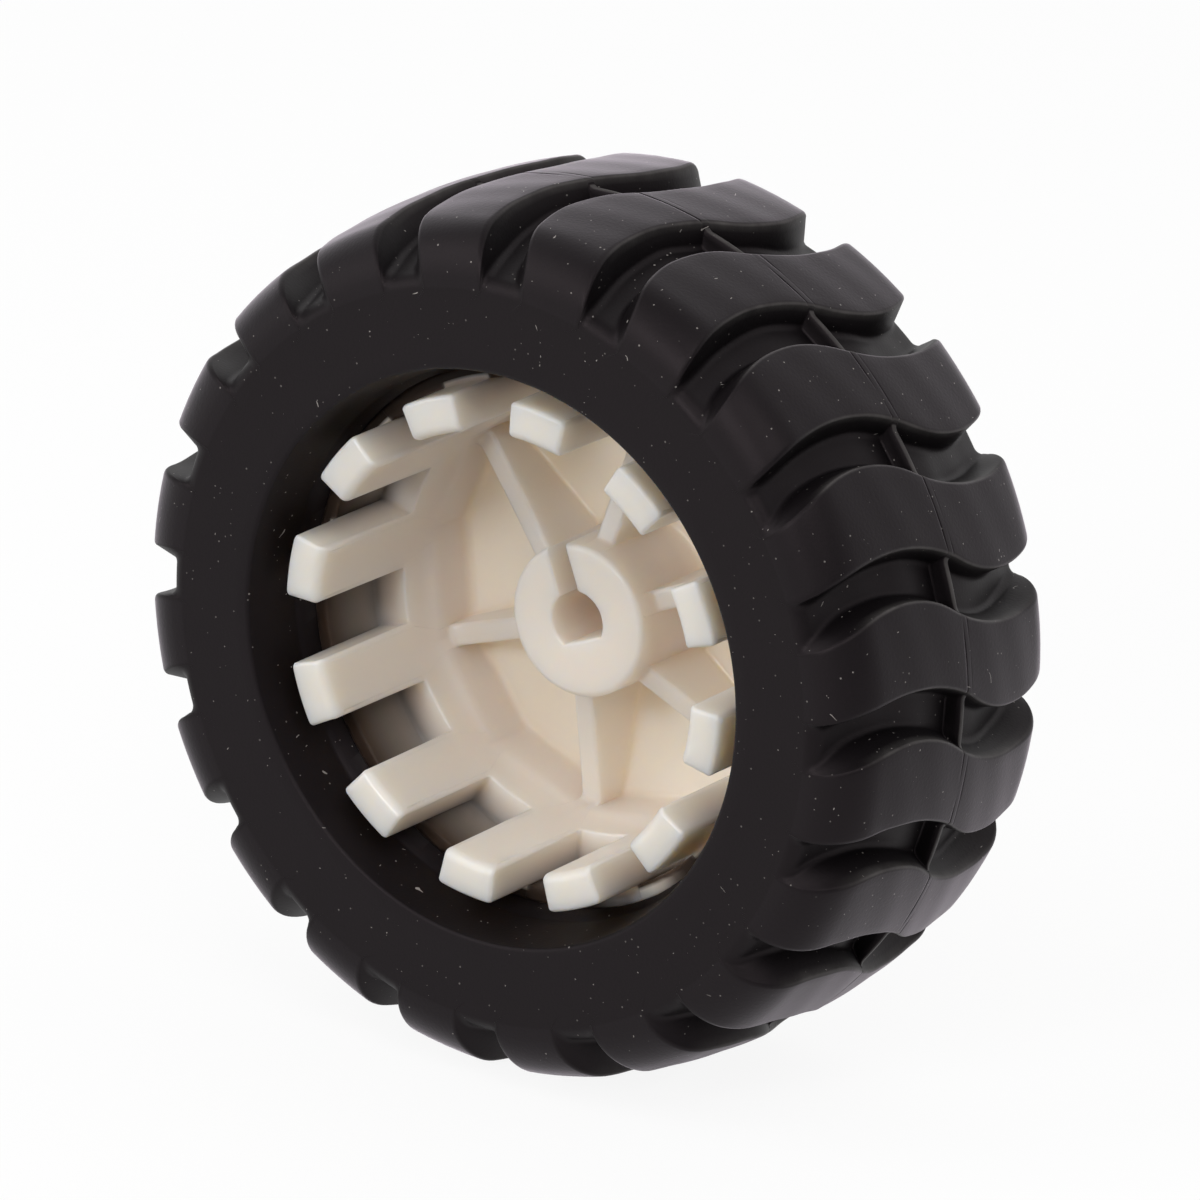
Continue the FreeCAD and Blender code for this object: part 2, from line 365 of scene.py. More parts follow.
def groove_line(distance, place):
    """Sideways place, along the tread, of the line parallel to a groove's middle at this distance.

    The middle line is two equal arcs that meet in an S; a parallel line has arcs about the same two
    centres, tighter on one half and wider on the other, and they join on the slanted normal.
    """
    across = GROOVE_BEND * math.cos(GROOVE_SLANT)
    along = GROOVE_BEND * math.sin(GROOVE_SLANT)
    back = across - np.sqrt((GROOVE_BEND - distance) ** 2 - (place - along) ** 2)
    front = np.sqrt((GROOVE_BEND + distance) ** 2 - (place + along) ** 2) - across
    return np.where(place > distance * math.sin(GROOVE_SLANT), back, front)


def tread_profiles():
    """Places and radii across the tread, from its middle to one sidewall, for the lugs and the groove floors.

    A lug is a shallow parabola that runs into a round shoulder and fades into the sidewall. A floor is
    level beside the fin, slopes down outwards, and turns over a quarter ellipse into the sidewall.
    """
    crown = np.concatenate([FIN_ROWS, np.linspace(CROWN_START, CROWN_EDGE, CROWN_ROWS)])
    start = math.atan(2 * CROWN_FALL * CROWN_EDGE)
    top = TYRE_RADIUS - CROWN_FALL * CROWN_EDGE ** 2
    turn = run(start, SHOULDER_END, SHOULDER_ROWS)
    shoulder_place = CROWN_EDGE + SHOULDER_BEND * (np.sin(turn) - math.sin(start))
    shoulder_radius = top - SHOULDER_BEND * (math.cos(start) - np.cos(turn))
    fade = between(0, 1, FADE_ROWS)
    fade_place = TYRE_HALF_WIDTH + (shoulder_place[-1] - TYRE_HALF_WIDTH) * (1 - fade) ** 2
    fade_radius = shoulder_radius[-1] + (SIDEWALL_RADIUS - shoulder_radius[-1]) * fade
    place = np.concatenate([crown, shoulder_place, fade_place])
    lug = np.concatenate([TYRE_RADIUS - CROWN_FALL * crown ** 2, shoulder_radius, fade_radius])

    floor = FLOOR_RADIUS - FLOOR_SLOPE * smooth_ramp(place - FLOOR_FLAT, FLOOR_EASE)
    drop = FLOOR_RADIUS - FLOOR_SLOPE * (TYRE_HALF_WIDTH - FLOOR_FLAT) - SIDEWALL_RADIUS
    over = np.clip(1 - (TYRE_HALF_WIDTH - place) / FLOOR_ROUNDING, 0, 1)
    floor = np.minimum(floor - drop * (1 - np.sqrt(1 - over ** 2)), lug)
    fin = 1 / (1 + np.exp((place - FIN_HALF_THICKNESS) / FIN_SIDE_EASE))
    return place, lug, floor + (FIN_TOP - FLOOR_RADIUS) * fin


def sidewall_profile():
    """Places and radii from the shoulder's end down the flat sidewall to the round lip of the bore."""
    flat = np.linspace(SIDEWALL_RADIUS, LIP_RADIUS + LIP_FILLET, SIDEWALL_ROWS)
    turn = quarter(LIP_ROWS)
    lip = LIP_RADIUS + LIP_FILLET * (1 - np.sin(turn))
    lip_place = TYRE_HALF_WIDTH - LIP_FILLET * (1 - np.cos(turn))
    return np.concatenate([np.full(len(flat), TYRE_HALF_WIDTH), lip_place]), np.concatenate([flat, lip])


def tyre_rows():
    """Places, lug radii and floor radii of the tyre's closed profile, and how many of its rows are tread.

    The rows cross the tread from the toothed side to the other, go down that sidewall, come back through
    the bore and climb the toothed side's wall.
    """
    half_place, half_lug, half_floor = tread_profiles()
    side_place, side_radius = sidewall_profile()
    bore_place, bore_radius = np.transpose(TYRE_BORE)
    place = np.concatenate([-half_place[:0:-1], half_place, side_place, bore_place, -side_place[::-1]])
    plain = np.concatenate([side_radius, bore_radius, side_radius[::-1]])
    lug = np.concatenate([half_lug[:0:-1], half_lug, plain])
    floor = np.concatenate([half_floor[:0:-1], half_floor, plain])
    return place, lug, floor, 2 * len(half_place) - 1


def groove_columns(place, lug, height):
    """Columns of one groove and the lug after it, for every row.

    Gives each column's place along the tread, the share of the lug's height that it has reached, its
    distance past the groove's edge, and how sharp that edge is. A wall leans by its draft between a
    fillet at its foot and one at its top, and both fillets grow on one side towards each groove end. On
    the flat sidewall the columns are spread evenly, so no thin faces lie there.
    """
    side = step_side(foot=4, wall=4, top=5)
    soft = np.clip((np.abs(place) - SOFT_END_START) / SOFT_END_REACH, 0, 1)
    soft = soft ** 2 * (3 - 2 * soft)
    edges = []
    for soft_side in (soft * (place > 0), soft * (place < 0)):
        foot_fillet = LUG_FOOT_FILLET + SOFT_FOOT_FILLET * soft_side
        top_fillet = LUG_TOP_FILLET + SOFT_TOP_FILLET * soft_side
        share, sideways = step_heights(side, height, foot_fillet, top_fillet)
        lean = (1 - share) * np.maximum(height, 0)[:, None] * WALL_DRAFT
        sharp = np.repeat(1 - soft_side[:, None], share.shape[1], axis=1)
        edges.append((share, GROOVE_HALF_WIDTH + sideways - lean, sharp))
    (share_left, left, sharp_left), (share_right, right, sharp_right) = edges
    inside = -left[:, :1] + (left[:, :1] + right[:, :1]) * between(0, 1, GROOVE_FLOOR_COLUMNS)
    distance = np.concatenate([-left[:, ::-1], inside, right], axis=1)

    shift = groove_line(distance, np.clip(place, -TYRE_HALF_WIDTH, TYRE_HALF_WIDTH)[:, None])
    pitch = 2 * np.pi * TYRE_RADIUS / GROOVE_COUNT
    top = shift[:, -1:] + (shift[:, :1] + pitch - shift[:, -1:]) * between(0, 1, LUG_FACE_COLUMNS)
    shift = np.concatenate([shift, top], axis=1)
    even = shift[:, :1] + pitch * np.arange(shift.shape[1]) / shift.shape[1]
    plainness = np.clip(SIDEWALL_RADIUS - lug, 0, 1)
    shift = shift + (even - shift) * plainness[:, None]

    full = np.ones_like(top)
    level = np.concatenate([share_left[:, ::-1], np.zeros_like(inside), share_right, full], axis=1)
    past = np.concatenate([np.abs(distance) - GROOVE_HALF_WIDTH, full], axis=1)
    sharp = np.concatenate([sharp_left, np.ones_like(inside), sharp_right, full], axis=1)
    return shift, level, past, sharp


def tread_dents(row, angle, level):
    """Depth below the true tread: slow waves round and across it, and the parting line on the lugs.

    Whole numbers of waves go round, so they close. The parting line is a pair of thin hollows beside the
    middle, and patches of one give way to the other.
    """
    uneven = UNEVEN_HEIGHT * np.sin(9 * angle + 1.3 * row) * np.sin(1.1 * row + 5 * angle)
    patchy = np.clip(0.55 + 0.8 * np.sin(31 * angle) * np.sin(17 * angle + 1), 0, 1)
    first_line = np.exp(-((row - PARTING_PLACE) / PARTING_HALF_WIDTH) ** 2) * patchy
    second_line = np.exp(-((row - PARTING_OTHER_PLACE) / PARTING_HALF_WIDTH) ** 2) * (0.5 - 0.5 * patchy)
    parting = (first_line + second_line) * (level > LUG_LEVEL)
    return UNEVEN_HEIGHT + uneven + PARTING_DEPTH * parting


def make_tyre(material):
    """Tyre as one ring: a closed profile across, and columns that follow the S-shaped grooves round.

    Each point's radius goes from the floor's profile to the lug's by the share of the height that its
    column has reached. The tread's dents fade out towards the sidewall, and the fin wavers a little.
    """
    place, lug, floor, tread_rows = tyre_rows()
    height = lug - floor
    shift, level, past, sharp = groove_columns(place, lug, height)
    start = math.radians(GROOVE_PHASE) + np.arange(GROOVE_COUNT) * 2 * np.pi / GROOVE_COUNT
    angle = (start[None, :, None] + shift[:, None, :] / TYRE_RADIUS).reshape(len(place), -1)
    level, past, sharp = (np.tile(columns, (1, GROOVE_COUNT)) for columns in (level, past, sharp))

    row = place[:, None]
    on_tread = (np.arange(len(place)) < tread_rows)[:, None]
    radius = floor[:, None] + height[:, None] * level
    above_wall = np.clip((radius - SIDEWALL_RADIUS) / UNEVEN_SETTLE, 0, 1)
    radius = radius - np.where(on_tread, tread_dents(row, angle, level), 0) * above_wall
    waver = FIN_WAVER * np.sin(7 * angle + 2 * np.sin(3 * angle))
    waver = waver * np.exp(-(row / FIN_WAVER_REACH) ** 2) * (1 - level)
    points = turned(radius, angle, row + np.where(on_tread, waver, 0))

    # Pale lug edges and fin top: a painted highlight along the sharp lug edges, with some wear, fading out on
    # the toothed side's shoulder; on the fin's top it is highlight only.
    highlit_worn = np.exp(-((past - HIGHLIT_WORN_OFFSET) / HIGHLIT_WORN_WIDTH) ** 2) * (level > EDGE_LEVEL) * sharp
    highlit_worn = highlit_worn * np.clip(height / HIGHLIT_WORN_DEPTH, 0, 1)[:, None] * np.clip((row + HIGHLIT_WORN_END) / HIGHLIT_WORN_FADE, 0, 1)
    fin_highlight = (np.abs(row) < FIN_HIGHLIGHT_REACH) * (level < GROOVE_LEVEL)
    hazed = np.clip((level - HAZE_LEVEL) / (1 - HAZE_LEVEL), 0, 1)
    haze = np.where(on_tread, HAZE_WEIGHT * hazed, 0)
    attributes = [("edge_highlight_and_wear", np.maximum(highlit_worn, fin_highlight).ravel()), ("handling_haze", haze.ravel())]
    return make_piece("tyre_rubber_moulding", points, material, attributes)


def bore_outline(angle):
    """Radius of the D-shaped hole: a circle cut by a flat across one side."""
    toward = np.cos(angle - math.radians(FLAT_ANGLE))
    return np.minimum(BORE_RADIUS, BORE_FLAT / np.maximum(toward, TINY))


def pocket_outline(angle):
    """Radius of the twelve-sided pocket, its corners below the teeth."""
    off = np.mod(angle - math.radians(HUB_PHASE), SECTOR) - SECTOR / 2
    return np.minimum(POCKET_APOTHEM / np.cos(off), CUP_RADIUS - POCKET_CORNER_ROOM)


class Profile:
    """Rows of the hub from the hole's floor, over the front, round the rim and back to the axis behind.

    Each row has three (radius, place) pairs: the plain surface, the rib or tooth, and the boss's slot.
    """

    def __init__(self):
        self.plain, self.raised, self.slot, self.half, self.zone = [], [], [], [], []

    def add(self, zone, plain, raised=None, slot=None, half=RIB_HALF):
        """Appends rows; what isn't given runs with the plain surface."""
        for rows, given in ((self.plain, plain), (self.raised, raised), (self.slot, slot)):
            pairs = plain if given is None else given
            rows.append(np.stack(np.broadcast_arrays(*pairs), axis=-1).astype(float))
        count = len(self.plain[-1])
        self.half.append(np.broadcast_to(half, count).astype(float))
        self.zone += [zone] * count


def add_boss_rows(profile):
    """Rows from the hole's floor up its wall, over the boss's face and to its outer edge."""
    floor_end = BORE_RADIUS - BORE_FOOT
    wall_start = BORE_FLOOR - BORE_FOOT
    wall_end = BOSS_FRONT + BORE_LIP
    face_start = BORE_RADIUS + BORE_LIP
    face_end = BOSS_RADIUS - BOSS_EDGE
    slot_start = SLOT_FLOOR + SLOT_LIP
    profile.add("bore", (run(0, floor_end, 4), BORE_FLOOR))
    profile.add("bore", bend((floor_end, BORE_FLOOR), (BORE_RADIUS, wall_start), "radius", 3))
    profile.add(
        "bore",
        (BORE_RADIUS, run(wall_start, wall_end, 6)),
        slot=(BORE_RADIUS, run(wall_start, slot_start, 6)),
    )
    profile.add(
        "bore",
        bend((BORE_RADIUS, wall_end), (face_start, BOSS_FRONT), "place", 4),
        slot=bend((BORE_RADIUS, slot_start), (face_start, SLOT_FLOOR), "place", 4),
    )
    face = run(face_start, face_end, 6)
    profile.add("boss", (face, BOSS_FRONT), slot=(face, SLOT_FLOOR))
    profile.add(
        "boss",
        bend((face_end, BOSS_FRONT), (BOSS_RADIUS, BOSS_FRONT + BOSS_EDGE), "radius", 5),
        slot=(run(face_end, BOSS_RADIUS, 5), SLOT_FLOOR),
    )


def add_web_rows(profile):
    """Rows down the boss's side, over the web with its ribs, and up the pocket's wall and its ledge."""
    boss_top = BOSS_FRONT + BOSS_EDGE
    boss_foot = BOSS_RADIUS + BOSS_DRAFT
    rib_foot = BOSS_RADIUS + RIB_DRAFT
    web_foot = WEB_FRONT - WEB_FILLET
    slot_end = SLOT_FLOOR + RIB_DRAFT
    profile.add(
        "rib",
        (run(BOSS_RADIUS, boss_foot, 7), run(boss_top, web_foot, 7)),
        (run(BOSS_RADIUS, rib_foot, 7), run(boss_top, RIB_INNER_TOP - RIB_FILLET, 7)),
        (run(BOSS_RADIUS, boss_foot, 7), run(SLOT_FLOOR, slot_end, 7)),
    )
    web_start = boss_foot + WEB_FILLET
    rib_start = rib_foot + RIB_FILLET
    profile.add(
        "rib",
        bend((boss_foot, web_foot), (web_start, WEB_FRONT), "place", 4),
        bend((rib_foot, RIB_INNER_TOP - RIB_FILLET), (rib_start, RIB_INNER_TOP), "place", 4),
        (run(boss_foot, web_start, 4), run(slot_end, WEB_FRONT, 4)),
    )
    web_end = POCKET_APOTHEM - POCKET_FILLET
    rib_end = web_end + RIB_REACH
    profile.add(
        "rib",
        (run(web_start, web_end, 9), WEB_FRONT),
        (run(rib_start, rib_end, 9), run(RIB_INNER_TOP, RIB_OUTER_TOP, 9)),
    )
    pocket_foot = WEB_FRONT - POCKET_FILLET
    rib_drop = RIB_OUTER_TOP - RIB_FILLET
    profile.add(
        "pocket",
        bend((web_end, WEB_FRONT), (POCKET_APOTHEM, pocket_foot), "radius", 4),
        bend((rib_end, RIB_OUTER_TOP), (POCKET_APOTHEM, rib_drop), "radius", 4),
    )
    pocket_top = POCKET_FRONT + POCKET_EDGE
    profile.add(
        "pocket",
        (POCKET_APOTHEM, run(pocket_foot, pocket_top, 5)),
        (POCKET_APOTHEM, run(rib_drop, pocket_top, 5)),
    )
    profile.add(
        "ledge",
        (run(POCKET_APOTHEM, CUP_RADIUS, 10), run(pocket_top, ROOT_FRONT + CUP_EDGE, 10)),
        half=run(RIB_HALF, TOOTH_INNER_HALF - TOOTH_CORNER, 10),
    )


def add_tooth_rows(profile):
    """Rows up the cup's wall, over a tooth's tip or the gap's root beside it, and out to the collar."""
    cup_top = ROOT_FRONT + CUP_EDGE
    root_start = CUP_RADIUS + ROOT_EDGE
    root_end = COLLAR_INNER - ROOT_FILLET
    tip_start = CUP_RADIUS + TIP_INNER_BEND
    tip_end = COLLAR_INNER - TIP_OUTER_BEND
    inner_top = TOOTH_TIP + TIP_INNER_BEND
    outer_top = TOOTH_TIP + TIP_OUTER_BEND
    outer_half = TOOTH_OUTER_HALF - TIP_OUTER_BEND
    profile.add(
        "tooth",
        (CUP_RADIUS, run(cup_top, ROOT_FRONT + ROOT_EDGE, 9)),
        (CUP_RADIUS, run(cup_top, inner_top, 9)),
        half=TOOTH_INNER_HALF - TOOTH_CORNER,
    )
    inner_tip = bend((CUP_RADIUS, inner_top), (tip_start, TOOTH_TIP), "place", 8)
    inward = np.clip((inner_tip[0] - CUP_RADIUS) / TOOTH_CORNER, 0, 1)
    profile.add(
        "tooth",
        bend((CUP_RADIUS, ROOT_FRONT + ROOT_EDGE), (root_start, ROOT_FRONT), "place", 8),
        inner_tip,
        half=TOOTH_INNER_HALF - TOOTH_CORNER * (1 - np.sqrt(1 - (1 - inward) ** 2)),
    )
    profile.add(
        "tooth",
        (run(root_start, root_end, 5), ROOT_FRONT),
        (run(tip_start, tip_end, 5), TOOTH_TIP),
        half=run(TOOTH_INNER_HALF, TOOTH_OUTER_HALF, 5),
    )
    outer_tip = bend((tip_end, TOOTH_TIP), (COLLAR_INNER, outer_top), "radius", 5)
    outward = np.clip((outer_tip[0] - tip_end) / TIP_OUTER_BEND, 0, 1)
    wall_start = ROOT_FRONT - ROOT_FILLET
    profile.add(
        "tooth",
        bend((root_end, ROOT_FRONT), (COLLAR_INNER, wall_start), "radius", 5),
        outer_tip,
        half=TOOTH_OUTER_HALF - TIP_OUTER_BEND * (1 - np.sqrt(1 - outward ** 2)),
    )
    wall_end = RIM_FRONT + COLLAR_EDGE
    tooth_foot = RIM_FRONT - TOOTH_FOOT
    profile.add(
        "tooth",
        (COLLAR_INNER, run(wall_start, wall_end, 6)),
        (COLLAR_INNER, run(outer_top, tooth_foot, 6)),
        half=outer_half,
    )
    profile.add(
        "tooth",
        bend((COLLAR_INNER, wall_end), (COLLAR_INNER + COLLAR_EDGE, RIM_FRONT), "place", 3),
        bend((COLLAR_INNER, tooth_foot), (COLLAR_INNER + TOOTH_FOOT, RIM_FRONT), "place", 3),
        half=outer_half,
    )


def add_rim_rows(profile):
    """Rows over the collar's front, along the rim, round its back edge and down into the dish behind."""
    half = TOOTH_OUTER_HALF - TIP_OUTER_BEND
    collar_end = RIM_RADIUS - COLLAR_EDGE
    rim_start = RIM_FRONT + COLLAR_EDGE
    rim_end = RIM_BACK - RIM_BEND
    back_start = RIM_RADIUS - RIM_BEND
    mouth = DISH_MOUTH + DISH_LIP
    dish_top = RIM_BACK - DISH_LIP
    dish_end = DISH_FLOOR + DISH_DRAFT
    dish_foot = WEB_BACK + DISH_FILLET
    web_edge = dish_end - DISH_FILLET
    profile.add("collar", (run(COLLAR_INNER + TOOTH_FOOT, collar_end, 3), RIM_FRONT), half=half)
    profile.add("collar", bend((collar_end, RIM_FRONT), (RIM_RADIUS, rim_start), "radius", 3), half=half)
    profile.add("rim", (RIM_RADIUS, run(rim_start, rim_end, 4)), half=half)
    profile.add("rim", bend((RIM_RADIUS, rim_end), (back_start, RIM_BACK), "place", 4), half=half)
    profile.add("rim", (run(back_start, mouth, 3), RIM_BACK), half=half)
    profile.add("rim", bend((mouth, RIM_BACK), (DISH_MOUTH, dish_top), "radius", 3), half=half)
    profile.add("rim", (run(DISH_MOUTH, dish_end, 3), run(dish_top, dish_foot, 3)), half=half)
    profile.add("rim", bend((dish_end, dish_foot), (web_edge, WEB_BACK), "place", 4), half=half)
    profile.add("rim", (run(web_edge, WEB_MIDDLE, 8), WEB_BACK), half=half)


def sector_columns(plain, raised, slot, half):
    """Columns of one sector, for every row, in the order of their angles.

    A column at a rib's or tooth's side keeps its sideways distance from the sector's middle, so its angle
    is asin(distance / radius), and the columns of the gap are even. Gives the angles, the same columns
    spread evenly, the share of the rib's or tooth's height reached, and the share of the slot's depth.
    """
    side = step_side(foot=3, wall=4, top=4)
    raise_height = np.linalg.norm(raised - plain, axis=1)
    slot_depth = np.linalg.norm(slot - plain, axis=1)
    lift, sideways = step_heights(side, raise_height, SIDE_FOOT_FILLET, SIDE_TOP_FILLET)
    sink = step_heights(side, slot_depth, SLOT_FILLET, SLOT_FILLET)[0]
    toward = half[:, None] - sideways
    inside = toward[:, -1:] * between(1, -1, TOOTH_FACE_COLUMNS)
    reach = np.maximum(np.maximum(raised[:, :1], plain[:, :1]), BOSS_RADIUS)
    feature = np.concatenate([toward, inside, -toward[:, ::-1]], axis=1)
    foot_angle = np.arcsin(toward[:, :1] / reach)
    gap_angle = foot_angle + (SECTOR - 2 * foot_angle) * between(0, 1, TOOTH_GAP_COLUMNS)
    angle = np.concatenate([-np.arcsin(feature / reach), gap_angle], axis=1)

    middle = toward.shape[1] + inside.shape[1] // 2
    after = angle.shape[1] - middle
    even_before = angle[:, :1] * np.linspace(1, 0, middle + 1)[:-1]
    even_after = (angle[:, :1] + SECTOR) * np.arange(after) / after
    even = np.concatenate([even_before, even_after], axis=1)

    full = np.ones_like(inside)
    none = np.zeros_like(gap_angle)
    lift = np.concatenate([lift, full, lift[:, ::-1], none], axis=1)
    sink = np.concatenate([sink, full, sink[:, ::-1], none], axis=1)
    return angle, even, lift, sink


def round_the_hub(zone, slotted, angle, even, lift, sink):
    """One sector's columns repeated round the hub: ribs in every other sector, the boss's slot in one.

    Where a sector has no rib, tooth or slot in a row, its columns are calm: they are spread evenly, so no
    thin faces lie on a plain surface. Over the pocket's rows they go back to the teeth's columns.
    """
    sectors = np.arange(TOOTH_COUNT)
    ribless = sectors % 2 == 1
    in_rib = np.isin(zone, ["rib", "pocket"])
    lift_weight = np.where(in_rib[:, None], ~ribless[None, :], True)
    slot_weight = np.broadcast_to(sectors == SLOT_SECTOR, lift_weight.shape)
    lift = (lift[:, None, :] * lift_weight[:, :, None]).reshape(len(zone), -1)
    sink = (sink[:, None, :] * slot_weight[:, :, None]).reshape(len(zone), -1)

    pocket_row = np.cumsum(zone == "pocket")
    leaving = np.where(zone == "pocket", 1 - pocket_row / pocket_row.max(), 1.0) * in_rib
    unslotted = (sectors != SLOT_SECTOR) | ~slotted[:, None]
    calm_boss = np.isin(zone, ["bore", "boss"])[:, None] * unslotted
    calm_web = leaving[:, None] * (unslotted & ribless)
    calm = calm_boss + calm_web + (zone == "rim")[:, None]
    angle = angle[:, None, :] + (even - angle)[:, None, :] * calm[:, :, None]
    start = math.radians(HUB_PHASE) + sectors * SECTOR
    return (start[None, :, None] + angle).reshape(len(zone), -1), lift, sink


def boss_angles(angle, row_radius):
    """Angles of the boss's columns, moved so that the slot is as wide at the hole as at the boss's edge.

    Beside the slot a column keeps its sideways distance, so its angle is asin(distance / radius); the rest
    of the turn is stretched evenly to fit.
    """
    slot_angle = math.radians(HUB_PHASE) + SLOT_SECTOR * SECTOR
    off = np.mod(angle - slot_angle + np.pi, 2 * np.pi) - np.pi
    size = np.abs(off)
    edge_distance = RIB_HALF + SIDE_FOOT_FILLET
    boss_edge = math.asin(edge_distance / BOSS_RADIUS)
    row_edge = np.arcsin(edge_distance / row_radius)
    near = np.arcsin(np.clip(np.sin(np.minimum(size, boss_edge)) * BOSS_RADIUS / row_radius, 0, 1))
    far = row_edge + (size - boss_edge) / (np.pi - boss_edge) * (np.pi - row_edge)
    return slot_angle + np.sign(off) * np.where(size <= boss_edge, near, far)


def outlined(radius, angle, zone):
    """Radii with the hub's outlines: the D hole within the boss, the twelve-sided pocket and its ledge.

    The hole's outline fades out towards the boss's edge, and the pocket's fades in across the web. The
    ledge widens from the pocket to the round cup by the cube of its depth, cut off softly at the pocket.
    """
    hole = bore_outline(angle)
    inner = np.clip((BOSS_RADIUS - radius) / (BOSS_RADIUS - BORE_RADIUS), 0, 1)
    on_face = radius + (hole - BORE_RADIUS) * inner
    bored = np.where(radius < BORE_RADIUS, radius * hole / BORE_RADIUS, on_face)
    pocket = pocket_outline(angle)
    blend_start = BOSS_RADIUS + POCKET_BLEND
    outward = np.clip((radius - blend_start) / (POCKET_APOTHEM - blend_start), 0, 1)
    pocketed = radius + (pocket - POCKET_APOTHEM) * outward ** 4
    depth = (CUP_RADIUS - radius) / (CUP_RADIUS - POCKET_APOTHEM)
    funnel = LEDGE_STEEPNESS * depth ** 3
    narrowing = 0.5 * (funnel + 1 - np.sqrt((funnel - 1) ** 2 + LEDGE_EASE ** 2))
    ledge = CUP_RADIUS - (CUP_RADIUS - pocket) * np.clip(narrowing, 0, 1)
    radius = np.where(np.isin(zone, ["bore", "boss"]), bored, radius)
    radius = np.where(np.isin(zone, ["rib", "pocket"]), pocketed, radius)
    return np.where(zone == "ledge", ledge, radius)


def make_hub(material):
    """Hub as one closed skin from the hole's floor to the back of the web, over twelve equal sectors.

    Each point goes from the plain surface to the rib's or tooth's by the share of the height that its
    column has reached, and to the slot's by the share of its depth. A scrap of flash pushes the collar's
    front forward by a ragged wave. One attribute paints shade into the gaps between the teeth, darker
    outwards and towards the front, and onto the collar but for the flash; the thin collar lets a little
    rubber through.
    """
    profile = Profile()
    add_boss_rows(profile)
    add_web_rows(profile)
    add_tooth_rows(profile)
    add_rim_rows(profile)
    plain, raised, slot = (np.concatenate(rows) for rows in (profile.plain, profile.raised, profile.slot))
    zone = np.array(profile.zone)
    slotted = np.linalg.norm(slot - plain, axis=1) >= TINY
    columns = sector_columns(plain, raised, slot, np.concatenate(profile.half))
    angle, lift, sink = round_the_hub(zone, slotted, *columns)
    row_zone = zone[:, None]
    warped = boss_angles(angle, np.clip(plain[:, :1], BORE_RADIUS, BOSS_RADIUS))
    angle = np.where(np.isin(row_zone, ["bore", "boss"]), warped, angle)

    pair = plain[:, None, :] + lift[..., None] * (raised - plain)[:, None, :]
    pair = pair + sink[..., None] * (slot - plain)[:, None, :]
    radius = outlined(pair[..., 0], angle, row_zone)
    arc = np.degrees(np.mod(angle + np.pi, 2 * np.pi) - np.pi)
    flashed = np.exp(-((arc - FLASH_ANGLE) / FLASH_HALF_ANGLE) ** 4)
    ragged = np.sin(61 * angle) * np.sin(23 * angle + 1) + 0.6 * np.sin(97 * angle)
    flash = np.maximum(flashed * (FLASH_REACH + FLASH_RAGGED * ragged), 0)
    place = pair[..., 1] - np.where(row_zone == "collar", flash, 0)

    # Painted shade in the gaps between the teeth, darker outwards and towards the front, and on the collar
    # but for the flash; the thin collar also lets a little rubber through.
    wall_start = ROOT_FRONT - ROOT_FILLET
    outward = np.clip((plain[:, :1] - CUP_RADIUS) / (COLLAR_INNER - CUP_RADIUS), 0, 1)
    frontward = np.clip((wall_start - place) / (wall_start - RIM_FRONT), 0, 1)
    wall = (WALL_PAINTED_SHADE + WALL_PAINTED_SHADE_FRONT * frontward) * outward ** 2 * (1 - lift)
    collar = COLLAR_PAINTED_SHADE_AND_RUBBER * (1 - FLASH_SHADE_LIFT * flashed) * (row_zone == "collar")
    painted_shade_over_rubber = np.where(row_zone == "tooth", wall, collar)
    attributes = [("painted_shade_over_rubber", painted_shade_over_rubber.ravel())]
    return make_piece("hub_plastic_moulding", turned(radius, angle, place), material, attributes, poles=True)


def colour(code):
    """Linear colour from an sRGB hex value."""
    parts = [int(code[i:i + 2], 16) / 255 for i in (1, 3, 5)]
    linear = [c / 12.92 if c <= 0.04045 else ((c + 0.055) / 1.055) ** 2.4 for c in parts]
    return (*linear, 1.0)


def node(tree, kind, settings=(), inputs=(), links=()):
    """Adds a node with its settings, its socket values, and links from other nodes' outputs."""
    made = tree.nodes.new(kind)
    for name, value in dict(settings).items():
        setattr(made, name, value)
    for name, value in dict(inputs).items():
        made.inputs[name].default_value = value
    for name, source in dict(links).items():
        tree.links.new(source, made.inputs[name])
    return made


def maths(tree, operation, first, second):
    """Output of a maths node; each operand is another node's output or a number."""
    operands = {0: first, 1: second}
    numbers = {slot: value for slot, value in operands.items() if isinstance(value, float)}
    sources = {slot: value for slot, value in operands.items() if not isinstance(value, float)}
    return node(tree, "ShaderNodeMath", {"operation": operation}, numbers, sources).outputs[0]


def mapped(tree, value, low, high):
    """Output of a node that maps a value's range of 0 to 1 to low to high."""
    limits = {"To Min": low, "To Max": high}
    return node(tree, "ShaderNodeMapRange", inputs=limits, links={"Value": value}).outputs["Result"]


def blended(tree, first, second, factor):
    """Output of a colour mix; first is another node's output or a colour, second is a colour."""
    colours = {"B": second}
    links = {"Factor": factor}
    if isinstance(first, tuple):
        colours["A"] = first
    else:
        links["A"] = first
    return node(tree, "ShaderNodeMix", {"data_type": "RGBA"}, colours, links).outputs["Result"]


def per_mm(size):
    """Texture scale, in metres of object space, for a pattern that repeats about every size millimetres."""
    return 1 / (size * MM)


def noise(tree, where, size, **settings):
    """Noise texture whose pattern repeats about every size millimetres of object space."""
    inputs = {"Scale": per_mm(size), **settings}
    return node(tree, "ShaderNodeTexNoise", inputs=inputs, links={"Vector": where})


def cells(tree, where, size):
    """Voronoi texture with cells of about this size in millimetres of object space."""
    return node(tree, "ShaderNodeTexVoronoi", inputs={"Scale": per_mm(size)}, links={"Vector": where})


def painted(tree, label):
    """Output of one of the mesh's own attributes."""
    return node(tree, "ShaderNodeAttribute", {"attribute_name": label}).outputs["Fac"]


def new_material(name):
    """Empty node material."""
    material = bpy.data.materials.new(name)
    material.use_nodes = True
    material.node_tree.nodes.clear()
    return material, material.node_tree


